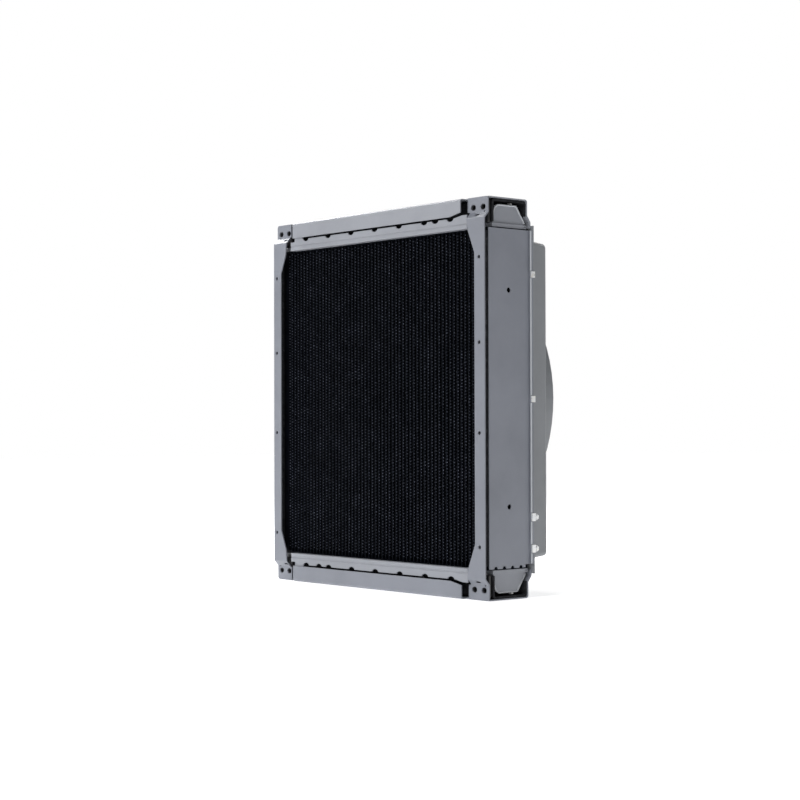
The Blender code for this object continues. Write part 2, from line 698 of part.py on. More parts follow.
def fan_shroud():
    """A flange, a tapered box and a back wall with the fan's opening."""
    front_y = FLANGE_REAR + GAP
    wide, high = SHROUD_FLANGE
    down = (0, 0, SHROUD_Z)
    box = frustum("shroud", front_y + SHROUD_SHEET / 2, SHROUD_MOUTH, SHROUD_REAR, SHROUD_BACK, SHROUD_EDGE)
    obj = place("fan_shroud", box, SHROUD_PAINT, ORIGIN, down)
    flange = boxes("shroud_flange", [((-wide, front_y, -high), (wide, front_y + SHROUD_SHEET, high))])
    join(obj, cutter("shroud_flange", flange, ORIGIN, down))
    slope = [(m - b) / (SHROUD_REAR - front_y) for m, b in zip(SHROUD_MOUTH, SHROUD_BACK)]
    lead = 0.02
    mouth = [m - SHROUD_SHEET + s * lead for m, s in zip(SHROUD_MOUTH, slope)]
    back = [b - SHROUD_SHEET for b in SHROUD_BACK]
    hollow = frustum("shroud_hollow", front_y - lead, mouth, SHROUD_REAR - SHROUD_SHEET, back,
                     SHROUD_EDGE - SHROUD_SHEET)
    cut(obj, cutter("shroud_hollow", hollow, ORIGIN, down))
    hole = rods("shroud_hole", [((0, SHROUD_REAR, FAN_Z), RING_R - RING_WALL - 0.002, 0.05)], "Y", 72)
    cut(obj, cutter("shroud_hole", hole))
    smooth(obj.data)
    return obj


def turned(name, profile, material, steps, parent=ORIGIN, location=(0, 0, 0)):
    """A ring or disc turned about Y. The profile is (radius, y) and runs from the front face outwards."""
    work = bmesh.new()
    verts = [work.verts.new((radius, -y, 0)) for radius, y in profile]
    for first, second in zip(verts, verts[1:] + verts[:1]):
        work.edges.new((first, second))
    mesh = bpy.data.meshes.new(name)
    work.to_mesh(mesh)
    work.free()
    obj = place(name, mesh, material, parent, location)
    screw = obj.modifiers.new("turn", "SCREW")
    screw.axis = "Y"
    screw.steps = steps
    screw.render_steps = steps
    screw.use_merge_vertices = True
    screw.merge_threshold = 0.00001
    screw.use_smooth_shade = False
    obj.rotation_euler = (math.pi, 0, 0)
    return obj


def fan_ring():
    """The short duct around the fan: a rolled band with a bead at its free end."""
    front = SHROUD_REAR + GAP
    inner = RING_R - RING_WALL
    lip = 0.0022
    profile = [(inner, front), (RING_R, front), (RING_R, RING_REAR - lip)]
    profile += [(RING_R - lip / 2, RING_REAR), (inner, RING_REAR)]
    return turned("fan_ring", profile, SHROUD_PAINT, 72, location=(0, 0, FAN_Z))


# ---------------------------------------------------------------- fan

def blade_section(share):
    """Chord, pitch, thickness and sweep of a blade, from its root (0) to its tip (1)."""
    chord = 0.060 + 0.036 * math.sin(share * math.pi / 2)
    pitch = math.radians(31 - 13 * share)
    thick = 0.0052 - 0.0024 * share
    sweep = 0.012 * share * share
    return chord, pitch, thick, sweep


def blade_mesh(name):
    """One blade along +Z: a cambered section lofted from the hub to the tip."""
    spans = 6
    along = 6
    root = HUB_R + GAP

    def build(work):
        rings = []
        for s in range(spans + 1):
            share = s / spans
            chord, pitch, thick, sweep = blade_section(share)
            z = root + (TIP_R - root) * share
            upper, lower = [], []
            for k in range(along + 1):
                u = k / along - 0.5
                camber = 0.10 * chord * (1 - 4 * u * u)
                half = thick / 2 * (0.35 + 0.65 * math.sqrt(max(0.0, 1 - 4 * u * u)))
                for side, store in ((1, upper), (-1, lower)):
                    x, y = u * chord + sweep, camber + side * half
                    store.append((x * math.cos(pitch) - y * math.sin(pitch),
                                  x * math.sin(pitch) + y * math.cos(pitch)))
            rings.append([work.verts.new((x, y, math.sqrt(z * z - x * x)))
                          for x, y in upper + lower[::-1]])
        for low, high in zip(rings, rings[1:]):
            for i in range(len(low)):
                j = (i + 1) % len(low)
                work.faces.new((low[i], low[j], high[j], high[i]))
        work.faces.new(rings[0][::-1])
        work.faces.new(rings[-1])
        bmesh.ops.triangulate(work, faces=[f for f in work.faces if len(f.verts) > 4])
    return mesh_from(build, name)


def fan():
    """Hub shell, clamp plate and blades, all about the fan's axis."""
    smooth(turned("fan_hub", HUB_PROFILE, FAN_PLASTIC, 36, FAN_AXIS).data)
    clamp_r, step = CLAMP
    bore = SHAFT_R + 0.0002
    back = HUB_FRONT - GAP
    disc = [(bore, step), (clamp_r, step), (clamp_r, back), (bore, back)]
    turned("fan_clamp_plate", disc, STEEL, 32, FAN_AXIS)
    mesh = smooth(blade_mesh("blade"), 50)
    for i in range(BLADES):
        blade = place("fan_blade_%d" % (i + 1), mesh, FAN_PLASTIC, FAN_AXIS)
        blade.rotation_euler = (0, 2 * math.pi * i / BLADES, 0)
    nut_r, nut_long = SHAFT_NUT
    nut_y = step - GAP - nut_long / 2
    nut = place("shaft_nut", rods("shaft_nut", [((0, nut_y, 0), nut_r, nut_long)], "Y", 6), ZINC, FAN_AXIS)
    thread = rods("shaft_nut_bore", [((0, nut_y, 0), SHAFT_THREAD_R + 0.0002, nut_long * 3)], "Y", 32)
    cut(nut, cutter("shaft_nut_bore", thread, FAN_AXIS))
    rear = MOTOR_Y - FAN_Y + 0.020
    spindle = [(0, SHAFT_TIP), (SHAFT_THREAD_R, SHAFT_TIP), (SHAFT_THREAD_R, step), (SHAFT_R, step),
               (SHAFT_R, rear), (0, rear)]
    turned("motor_shaft", spindle, STEEL, 32, FAN_AXIS)


# ---------------------------------------------------------------- guard, bracket and motor

def wire_ring(work, radius, y, half, segments=32):
    """A ring of square wire about the fan's axis."""
    corners = ((radius - half, y - half), (radius + half, y - half),
               (radius + half, y + half), (radius - half, y + half))
    loops = []
    for i in range(segments):
        a = 2 * math.pi * i / segments
        loops.append([work.verts.new((r * math.sin(a), v, r * math.cos(a))) for r, v in corners])
    for i, loop in enumerate(loops):
        after = loops[(i + 1) % segments]
        for k in range(4):
            work.faces.new((loop[k], loop[(k + 1) % 4], after[(k + 1) % 4], after[k]))


def fan_guard():
    """Concentric wires on four pairs of spokes, just inside the ring's free end."""
    outer = RING_R - RING_WALL - 0.004
    inner = 0.076
    gap = (outer - inner) / (GUARD_RINGS - 1)

    def build(work):
        for i in range(GUARD_RINGS):
            wire_ring(work, inner + gap * i, 0, GUARD_WIRE)
    obj = place("fan_guard", mesh_from(build, "guard_rings"), BLACK_STEEL, ORIGIN, (0, GUARD_Y, FAN_Z))
    for i in range(8):
        spoke = boxes("guard_spoke", [((-GUARD_WIRE, -GUARD_WIRE * 0.7, inner - 0.001),
                                       (GUARD_WIRE, GUARD_WIRE * 0.7, outer + 0.001))])
        spoke.transform(Matrix.Rotation(math.pi * (i + 0.5) / 4, 4, "Y"))
        join(obj, cutter("guard_spoke_%d" % i, spoke, ORIGIN, (0, GUARD_Y, FAN_Z)))
    return obj


def motor_bracket():
    """A round plate on four arms that rest on the ring's free end."""
    plate = rods("bracket", [((0, BRACKET_THICK / 2, 0), BRACKET_PLATE_R, BRACKET_THICK)], "Y", 40)
    obj = place("motor_bracket", plate, BLACK_STEEL, ORIGIN, (0, BRACKET_Y, FAN_Z))
    for i in range(4):
        arm = boxes("bracket_arm", [((-ARM_WIDE / 2, 0, BRACKET_PLATE_R - 0.020),
                                     (ARM_WIDE / 2, BRACKET_THICK, RING_R - 0.001))])
        arm.transform(Matrix.Rotation(math.pi * (i + 0.5) / 2, 4, "Y"))
        join(obj, cutter("bracket_arm_%d" % i, arm, ORIGIN, (0, BRACKET_Y, FAN_Z)))
    bore = rods("bracket_bore", [((0, 0, 0), PILOT_R + GAP, 0.03)], "Y", 40)
    cut(obj, cutter("bracket_bore", bore, ORIGIN, (0, BRACKET_Y, FAN_Z)))
    return obj


def rounded_block(name, shape, front, rear):
    """A cast block along Y: half width, half height and corner radius."""
    half_x, half_z, radius = shape
    corners = [(-half_x, -half_z), (half_x, -half_z), (half_x, half_z), (-half_x, half_z)]
    mesh = outline_mesh(name, [rounded(corners, radius, 4, closed=True)], front, rear, FRONT_PLATE)
    return place(name, smooth(mesh), CAST, ORIGIN, (0, 0, FAN_Z))


def motor():
    """Front cover with its pilot, gear housing, rear cover and two oil ports."""
    front = MOTOR_Y
    down = (0, 0, FAN_Z)
    cover = rounded_block("motor_front_cover", MOTOR_FLANGE, front, front + MOTOR_FLANGE_THICK)
    pilot = rods("motor_pilot", [((0, front - 0.002, 0), PILOT_R, 0.005)], "Y", 40)
    join(cover, cutter("motor_pilot", pilot, ORIGIN, down))
    bore = rods("motor_bore", [((0, front, 0), SHAFT_R + 0.0003, 0.042)], "Y", 40)
    cut(cover, cutter("motor_bore", bore, ORIGIN, down))
    housing_front = front + MOTOR_FLANGE_THICK + GAP
    housing_rear = housing_front + MOTOR_HOUSING_LONG
    rounded_block("motor_housing", MOTOR_BODY, housing_front, housing_rear)
    rounded_block("motor_rear_cover", MOTOR_BODY, housing_rear + GAP, housing_rear + GAP + MOTOR_COVER_LONG)
    middle = (housing_front + housing_rear) / 2
    outer, inner, long = MOTOR_PORT
    for side in ("right", "left"):
        x = hand(side) * (MOTOR_BODY[0] + GAP + long / 2)
        port = rods("motor_port_" + side, [((x, middle, 0), outer, long)], "X", 28)
        obj = place("motor_port_" + side, smooth(port), CAST, ORIGIN, down)
        hole = rods("motor_port_hole_" + side, [((x, middle, 0), inner, long * 2)], "X", 28)
        cut(obj, cutter("motor_port_hole_" + side, hole, ORIGIN, down))


# ---------------------------------------------------------------- zinc hardware

def flange_clip(side, index, z, kind):
    """A spring clip over the flanges of side panel and shroud. A large one carries a screw and nut."""
    sign = hand(side)
    face = FLANGE_REAR - SHEET - GAP
    front = face - CLIP_SHEET
    rear = FLANGE_REAR + GAP + SHROUD_SHEET + GAP
    edge = SHROUD_FLANGE[0] + GAP
    inner, outer = CLIP_X
    ring = [(CLIP_LIP, front), (outer, front), (outer, rear + CLIP_SHEET), (inner, rear + CLIP_SHEET),
            (inner, rear), (edge, rear), (edge, face), (CLIP_LIP, face)]
    ring = [(sign * x, y) for x, y in ring]
    half = CLIP_HALF[kind]
    name = "flange_clip_%s_%d" % (side, index)
    obj = place(name, outline_mesh(name, [ring], z - half, z + half, FLAT), ZINC)
    if kind == "large":
        start = rear + CLIP_SHEET / 2
        x = sign * CLIP_SCREW_X
        screw = rods(name, [((x, start + CLIP_SCREW_LONG / 2, z), CLIP_SCREW_R, CLIP_SCREW_LONG)], "Y", 16)
        join(obj, cutter(name + "_screw", screw))
        radius, thick, along = CLIP_NUT
        nut = rods(name, [((x, start + along + thick / 2, z), radius, thick)], "Y", 6)
        join(obj, cutter(name + "_nut", nut))


# ---------------------------------------------------------------- assembly

for end_name in ("top", "bottom"):
    guard(end_name)
    foam(end_name)
    front_band(end_name)
    tank(end_name)
    for side_name in ("left", "right"):
        tank_end(end_name, side_name)
        nut_plate(end_name, side_name)
for side_name in ("left", "right"):
    front_strip(side_name)
    side_panel(side_name)
    core_side(side_name)
    for number, height in enumerate(CLIP_SPOTS, 1):
        flange_clip(side_name, number, height, "large" if number > 2 else "small")
tube_bank()
fin_pack()
oil_port("oil_inlet_port", "top")
oil_port("oil_outlet_port", "bottom")
tank_plug("vent_plug", "top")
tank_plug("drain_plug", "bottom")
fan_shroud()
fan_ring()
fan()
fan_guard()
motor_bracket()
motor()
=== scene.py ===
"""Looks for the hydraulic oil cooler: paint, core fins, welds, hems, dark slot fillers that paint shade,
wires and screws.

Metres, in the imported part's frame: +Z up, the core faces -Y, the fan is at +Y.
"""

import json
import math

import bmesh
import bpy
import numpy as np
from mathutils import Matrix, Vector


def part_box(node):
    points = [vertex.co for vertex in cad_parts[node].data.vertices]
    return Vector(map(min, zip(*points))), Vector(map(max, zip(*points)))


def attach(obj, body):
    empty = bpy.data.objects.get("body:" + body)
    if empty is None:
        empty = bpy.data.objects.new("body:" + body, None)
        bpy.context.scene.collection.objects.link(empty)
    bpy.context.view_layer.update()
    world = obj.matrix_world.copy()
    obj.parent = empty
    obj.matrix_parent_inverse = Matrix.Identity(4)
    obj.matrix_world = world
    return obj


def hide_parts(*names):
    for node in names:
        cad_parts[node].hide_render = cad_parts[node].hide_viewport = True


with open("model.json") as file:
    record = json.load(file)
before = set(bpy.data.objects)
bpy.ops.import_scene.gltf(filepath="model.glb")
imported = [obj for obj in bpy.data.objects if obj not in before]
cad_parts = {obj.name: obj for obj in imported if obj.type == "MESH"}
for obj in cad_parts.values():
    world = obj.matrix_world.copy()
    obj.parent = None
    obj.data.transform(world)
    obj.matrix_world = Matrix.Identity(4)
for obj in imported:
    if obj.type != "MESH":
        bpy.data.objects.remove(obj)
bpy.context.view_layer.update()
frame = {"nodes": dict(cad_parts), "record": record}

# The part's working frame: Y = 0 at the corner tabs and Z = 0 at mid-height.
SHIFT_Y = -0.0455
SHIFT_Z = 0.380
SHEET = 0.0025

# Core
TUBES = 55
TUBE_PITCH = 0.01086
TUBE_WIDE = 0.0028
FIN_PITCH = 0.00607
FIN_THICK = 0.00026
FIN_PROUD = 0.0008        # how far the fins stand out of the plain block in front
FIN_SHORT = 0.0035        # how far they stop before its back
FIN_END_GAP = 0.0004
FIN_TUBE_GAP = 0.0001
EDGE_FIN_TRIM = 0.0012    # the outermost columns are narrower, next to the side bars
FILLET_R = 0.00095
FILLET_SET = 0.0003       # how far a fillet's middle lies over its tube
FILLET_SINK = 0.0008
NOSE_BACK = 0.0017        # where the rear noses start, before the back of the block

# Tank ends and welds: (y, z) in the working frame
TANK_END_OUTLINE = [(0.0198, 0.3400), (0.0215, 0.3530), (0.0260, 0.3625), (0.0335, 0.3662),
                    (0.0802, 0.3662), (0.1018, 0.3345)]
TANK_WELD_R = 0.0021
TANK_WELD_SINK = 0.0004
RING_WELD = (0.2892, 0.1683)   # radius of the ring it runs round, and its y
RING_WELD_R = 0.0018
WELD_STEP = 0.0012

# Hems on the side panels' rear flanges, and the dark fillers behind the front strips that paint the shade
# in the slots
HEM_X = 0.3384
HEM_R = 0.0016
HEM_CLIP_GAP = 0.0012
HEM_FOOT_GAP = 0.007
HEM_TOP_GAP = 0.001
SHADE_FILLER_X = (0.3130, 0.3305)
SHADE_FILLER_HALF = 0.3150
SHADE_FILLER_GAP = 0.0002

# Fan guard
FAN_CENTRE_Z = 0.382
WIRE_R = 0.0014
GUARD_INNER = 0.0775
GUARD_RINGS = 15
GUARD_SPOKES = 16

# Motor screws: distances from the axis across and up, head radius, head height
COVER_SCREWS = (0.031, 0.036, 0.0065, 0.007)
FLANGE_SCREWS = (0.0415, 0.0415, 0.0050, 0.006)

# Studio
CAMERA_PLACE = (2.81085, -2.29070 + SHIFT_Y, -0.05145 + SHIFT_Z)
CAMERA_TURN = (0.8736720, -0.0143472, -0.0024392)   # yaw, pitch and roll
SOFT_WORLD = 0.15
FLOOR_HALF = 14
FLOOR_DROP = 0.0006
FLOOR_GLOW = 0.57

scene = bpy.context.scene


# ---------------------------------------------------------------- camera, light and floor

def add_camera():
    """From the front and right, level with the middle of the core."""
    yaw, pitch, roll = CAMERA_TURN
    level = math.cos(pitch)
    back = Vector((math.sin(yaw) * level, -math.cos(yaw) * level, math.sin(pitch)))
    right = Vector((math.cos(yaw), math.sin(yaw), 0))
    up = back.cross(right)
    across = math.cos(roll) * right + math.sin(roll) * up
    upright = -math.sin(roll) * right + math.cos(roll) * up
    data = bpy.data.cameras.new("camera")
    data.sensor_width = 36
    data.lens = 81
    data.clip_start = 0.05
    data.clip_end = 60
    obj = bpy.data.objects.new("camera", data)
    turn = Matrix((across, upright, back)).transposed().to_4x4()
    obj.matrix_world = Matrix.Translation(CAMERA_PLACE) @ turn
    scene.collection.objects.link(obj)
    scene.camera = obj


def add_area(name, place, aim, size, watts):
    """A rectangular softbox at a place, turned towards its aim."""
    data = bpy.data.lights.new(name, "AREA")
    data.shape = "RECTANGLE"
    data.size, data.size_y = size
    data.energy = watts
    obj = bpy.data.objects.new(name, data)
    obj.location = place
    obj.rotation_mode = "QUATERNION"
    obj.rotation_quaternion = (Vector(aim) - Vector(place)).to_track_quat("-Z", "Y")
    scene.collection.objects.link(obj)


def add_sun(name, toward, strength, spread):
    """A broad, even light, so that the floor is equally pale out to the horizon."""
    data = bpy.data.lights.new(name, "SUN")
    data.energy = strength
    data.angle = math.radians(spread)
    obj = bpy.data.objects.new(name, data)
    obj.rotation_mode = "QUATERNION"
    obj.rotation_quaternion = Vector(toward).to_track_quat("-Z", "Y")
    scene.collection.objects.link(obj)


def add_world():
    """White all round: full strength where the camera sees it, softer as light."""
    world = bpy.data.worlds.new("studio")
    world.use_nodes = True
    nodes, links = world.node_tree.nodes, world.node_tree.links
    background = nodes["Background"]
    background.inputs["Color"].default_value = (1, 1, 1, 1)
    path = nodes.new("ShaderNodeLightPath")
    level = nodes.new("ShaderNodeMapRange")
    level.inputs["To Min"].default_value = SOFT_WORLD
    level.inputs["To Max"].default_value = 1.0
    links.new(path.outputs["Is Camera Ray"], level.inputs["Value"])
    links.new(level.outputs["Result"], background.inputs["Strength"])
    scene.world = world


def add_floor():
    """A pale studio floor just under the part, with a glow of its own so that it stays white."""
    work = bmesh.new()
    bmesh.ops.create_grid(work, x_segments=1, y_segments=1, size=FLOOR_HALF)
    mesh = bpy.data.meshes.new("floor")
    work.to_mesh(mesh)
    work.free()
    obj = bpy.data.objects.new("floor", mesh)
    obj.location = (0, 0, -FLOOR_DROP)
    scene.collection.objects.link(obj)
    made = bpy.data.materials.new("pale_floor")
    made.use_nodes = True
    shader = made.node_tree.nodes["Principled BSDF"]
    shader.inputs["Base Color"].default_value = (0.93, 0.93, 0.93, 1)
    shader.inputs["Roughness"].default_value = 0.8
    shader.inputs["Specular IOR Level"].default_value = 0.1
    shader.inputs["Emission Color"].default_value = (1, 1, 1, 1)
    shader.inputs["Emission Strength"].default_value = FLOOR_GLOW
    mesh.materials.append(made)


# ---------------------------------------------------------------- materials

class Nodes:
    """A short way to build a node material."""

    def __init__(self, name):
        self.material = bpy.data.materials.new(name)
        self.material.use_nodes = True
        self.tree = self.material.node_tree
        self.shader = self.tree.nodes["Principled BSDF"]
        self.place = self.add("ShaderNodeTexCoord").outputs["Object"]

    def add(self, kind, **settings):
        node = self.tree.nodes.new(kind)
        for key, value in settings.items():
            setattr(node, key, value)
        return node

    def link(self, output, target):
        self.tree.links.new(output, target)

    def stretched(self, scale):
        node = self.add("ShaderNodeMapping")
        node.inputs["Scale"].default_value = scale
        self.link(self.place, node.inputs["Vector"])
        return node.outputs["Vector"]

    def noise(self, scale, detail=3.0, rough=0.5, vector=None):
        node = self.add("ShaderNodeTexNoise")
        node.inputs["Scale"].default_value = scale
        node.inputs["Detail"].default_value = detail
        node.inputs["Roughness"].default_value = rough
        self.link(vector or self.place, node.inputs["Vector"])
        return node.outputs["Fac"]

    def spread(self, value, low, high, start=0.3, end=0.7):
        node = self.add("ShaderNodeMapRange")
        node.inputs["From Min"].default_value = start
        node.inputs["From Max"].default_value = end
        node.inputs["To Min"].default_value = low
        node.inputs["To Max"].default_value = high
        self.link(value, node.inputs["Value"])
        return node.outputs["Result"]

    def ramp(self, value, stops):
        node = self.add("ShaderNodeValToRGB")
        ramp = node.color_ramp
        ramp.elements[0].position, ramp.elements[0].color = stops[0][0], (*stops[0][1], 1)
        ramp.elements[1].position, ramp.elements[1].color = stops[-1][0], (*stops[-1][1], 1)
        for position, colour in stops[1:-1]:
            ramp.elements.new(position).color = (*colour, 1)
        self.link(value, node.inputs["Fac"])
        return node.outputs["Color"]

    def mix(self, share, first, second):
        node = self.add("ShaderNodeMix", data_type="RGBA")
        self.link(share, node.inputs["Factor"])
        for value, slot in ((first, 6), (second, 7)):
            if isinstance(value, tuple):
                node.inputs[slot].default_value = (*value, 1)
            else:
                self.link(value, node.inputs[slot])
        return node.outputs[2]

    def times(self, first, second):
        node = self.add("ShaderNodeMath", operation="MULTIPLY")
        for value, target in ((first, node.inputs[0]), (second, node.inputs[1])):
            if isinstance(value, float):
                target.default_value = value
            else:
                self.link(value, target)
        return node.outputs[0]

    def bump(self, height, strength, distance, normal=None):
        node = self.add("ShaderNodeBump")
        node.inputs["Strength"].default_value = strength
        node.inputs["Distance"].default_value = distance
        self.link(height, node.inputs["Height"])
        if normal:
            self.link(normal, node.inputs["Normal"])
        return node.outputs["Normal"]

    def soft_edges(self, radius):
        node = self.add("ShaderNodeBevel", samples=4)
        node.inputs["Radius"].default_value = radius
        return node.outputs["Normal"]

    def edge_mask(self, normal):
        """Bright where the softened normal leaves the true one, which is along the edges."""
        true_normal = self.add("ShaderNodeNewGeometry").outputs["True Normal"]
        node = self.add("ShaderNodeVectorMath", operation="DOT_PRODUCT")
        self.link(normal, node.inputs[0])
        self.link(true_normal, node.inputs[1])
        return self.spread(node.outputs["Value"], 1.0, 0.0, 0.80, 0.99)

    def finish(self, colour, roughness, normal, metallic=0.0, **levels):
        self.link(colour, self.shader.inputs["Base Color"])
        self.link(roughness, self.shader.inputs["Roughness"])
        self.link(normal, self.shader.inputs["Normal"])
        self.shader.inputs["Metallic"].default_value = metallic
        for key, value in levels.items():
            self.shader.inputs[key.replace("_", " ")].default_value = value
        return self.material


def tint(colour, factor):
    return tuple(min(1.0, c * factor) for c in colour)


def powder_coat(name, colour, low, high):
    """Powder coat: a faint cloudiness, orange peel, a little dust and paler rubbed edges."""
    n = Nodes(name)
    cloud = n.noise(7.0, 4.0, 0.6)
    base = n.ramp(cloud, [(0.3, tint(colour, 0.90)), (0.5, colour), (0.7, tint(colour, 1.08))])
    speck = n.spread(n.noise(420.0, 2.0, 0.7), 0.0, 0.18, 0.55, 0.80)
    base = n.mix(speck, base, tint(colour, 1.35))
    soft = n.soft_edges(0.0007)
    rubbed = n.times(n.edge_mask(soft), n.spread(n.noise(60.0, 4.0, 0.7), 0.0, 0.55, 0.42, 0.70))
    base = n.mix(rubbed, base, tint(colour, 1.7))
    rough = n.spread(n.noise(16.0, 5.0, 0.6), low, high)
    peel = n.bump(n.noise(650.0, 2.0, 0.5), 0.10, 0.0004, soft)
    return n.finish(base, rough, peel, Specular_IOR_Level=0.5)


def core_paint(name, colour, low, high, grain):
    """Thin black paint over brazed aluminium: lighter bluish blotches painted into the colour as a
    painted sheen, and dusty patches.
    """
    n = Nodes(name)
    # Painted sheen: blotches of lighter colour stand in for gloss.
    patch = n.noise(22.0, 4.0, 0.6)
    base = n.ramp(patch, [(0.35, colour), (0.55, tint(colour, 1.5)), (0.75, tint(colour, 2.6))])
    dust = n.spread(n.noise(160.0, 3.0, 0.7), 0.0, 0.25, 0.58, 0.75)
    base = n.mix(dust, base, tint(colour, 5.0))
    rough = n.spread(n.noise(90.0, 3.0, 0.5), low, high)
    skin = n.bump(n.noise(grain, 2.0, 0.6), 0.15, 0.0004)
    return n.finish(base, rough, skin, Specular_IOR_Level=0.10, Specular_Tint=(0.62, 0.76, 1.0, 1.0))


def zinc_plate(name):
    """Bright zinc: pale bluish metal with faint yellow and grey clouds."""
    n = Nodes(name)
    cloud = n.noise(90.0, 3.0, 0.6)
    base = n.ramp(cloud, [(0.3, (0.80, 0.82, 0.84)), (0.5, (0.90, 0.91, 0.92)),
                          (0.7, (0.90, 0.88, 0.82))])
    rough = n.spread(n.noise(220.0, 3.0, 0.6), 0.25, 0.45)
    grain = n.bump(n.noise(900.0), 0.12, 0.0002, n.soft_edges(0.0004))
    return n.finish(base, rough, grain, metallic=0.45)


def ground_steel(name):
    """Steel ground round its length, with fine rings."""
    n = Nodes(name)
    rings = n.noise(30.0, 4.0, 0.7, n.stretched((1, 60, 1)))
    base = n.ramp(rings, [(0.3, (0.42, 0.42, 0.43)), (0.7, (0.62, 0.62, 0.63))])
    return n.finish(base, n.spread(rings, 0.18, 0.38), n.bump(rings, 0.15, 0.0002), metallic=1.0)


def cast_alloy(name):
    """Die-cast alloy with a fine sandy skin and dark staining in patches."""
    n = Nodes(name)
    stain = n.noise(24.0, 5.0, 0.7)
    base = n.ramp(stain, [(0.3, (0.16, 0.165, 0.17)), (0.55, (0.33, 0.34, 0.35)),
                          (0.75, (0.44, 0.45, 0.46))])
    skin = n.bump(n.noise(480.0, 4.0, 0.7), 0.35, 0.0006, n.soft_edges(0.0012))
    return n.finish(base, n.spread(n.noise(70.0), 0.38, 0.6), skin, metallic=0.75)


def moulded_nylon(name):
    """Black glass-filled nylon with a fine spark-eroded texture and greyish flow marks."""
    n = Nodes(name)
    flow = n.noise(14.0, 4.0, 0.6, n.stretched((1, 3, 1)))
    base = n.ramp(flow, [(0.3, (0.013, 0.013, 0.014)), (0.7, (0.030, 0.030, 0.032))])
    skin = n.bump(n.noise(1300.0, 2.0), 0.2, 0.0003)
    return n.finish(base, n.spread(n.noise(120.0), 0.42, 0.6), skin, Specular_IOR_Level=0.45)


def foam(name):
    """Black open-skinned foam: coarse pits, mottled with dust."""
    n = Nodes(name)
    pits = n.noise(260.0, 4.0, 0.7)
    base = n.ramp(n.noise(70.0, 4.0, 0.7), [(0.35, (0.008, 0.008, 0.010)), (0.6, (0.022, 0.023, 0.026)),
                                            (0.78, (0.070, 0.072, 0.078))])
    rough = n.spread(pits, 0.8, 0.98)
    return n.finish(base, rough, n.bump(pits, 0.8, 0.0020), Specular_IOR_Level=0.2)


MATERIALS = {
    "grey_paint": powder_coat("grey_paint_look", (0.224, 0.237, 0.274), 0.34, 0.48),
    # Painted light: a paler copy of the grey paint, so that the parts wearing it read as more strongly
    # lit.
    "painted_light_grey_paint": powder_coat("painted_light_grey_paint_look", (0.290, 0.303, 0.337), 0.34, 0.48),
    "shroud_paint": powder_coat("shroud_paint_look", (0.243, 0.254, 0.270), 0.40, 0.55),
    "black_steel": powder_coat("black_steel_look", (0.016, 0.016, 0.017), 0.30, 0.45),
    "core_black": core_paint("core_black_look", (0.0014, 0.0017, 0.0030), 0.45, 0.65, 500.0),
    "fin_black": core_paint("fin_black_look", (0.0014, 0.0016, 0.0028), 0.40, 0.60, 900.0),
    # Painted highlight: a much paler grey for the weld beads and the hems, so that they read as lit
    # edges.
    "painted_highlight_grey_paint": powder_coat("painted_highlight_grey_paint_look", (0.46, 0.48, 0.51), 0.28, 0.42),
    # Painted glint: the braze fillets get a far paler black than the core, standing in for the highlights
    # where the fin crests catch the light.
    "fillet": core_paint("fillet_painted_glint_look", (0.070, 0.077, 0.098), 0.30, 0.50, 900.0),
    "zinc": zinc_plate("zinc_look"),
    "shaft_steel": ground_steel("shaft_steel_look"),
    "cast_metal": cast_alloy("cast_metal_look"),
    "fan_plastic": moulded_nylon("fan_plastic_look"),
    "foam_black": foam("foam_black_look"),
}


# Parts given the paler copy of the grey paint as painted light: the top guard, the bands and the tanks.
PAINTED_LIGHT_NODES = ["top_guard", "top_front_band", "bottom_front_band", "top_tank", "bottom_tank",
              "top_tank_end_left", "top_tank_end_right", "bottom_tank_end_left", "bottom_tank_end_right"]


def dress_cad_nodes():
    """Each node gets its slot's look, and a few grey ones get a paler copy of the same paint: painted
    light, so that they read as more strongly lit.
    """
    slots = {part["node"]: part["material_slot"] for part in frame["record"]["subparts"]}
    for name, obj in frame["nodes"].items():
        obj.data.materials.clear()
        obj.data.materials.append(MATERIALS["painted_light_grey_paint" if name in PAINTED_LIGHT_NODES else slots[name]])


# ---------------------------------------------------------------- mesh helpers

def piece(name, mesh, slot, body="frame", replaced=(), look=None):
    """A visible piece that rides on a body. Its look is its slot's, unless another is named."""
    obj = bpy.data.objects.new(name, mesh)
    scene.collection.objects.link(obj)
    mesh.materials.clear()
    mesh.materials.append(MATERIALS[look or slot])
    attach(obj, body)
    if replaced:
        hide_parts(*replaced)
    return obj


def mesh_of(name, verts, faces, smooth=None):
    made = bpy.data.meshes.new(name)
    made.from_pydata([tuple(v) for v in verts], [], [tuple(f) for f in faces])
    made.update()
    if smooth is not None:
        made.shade_smooth()
        made.set_sharp_from_angle(angle=math.radians(smooth))
    return made


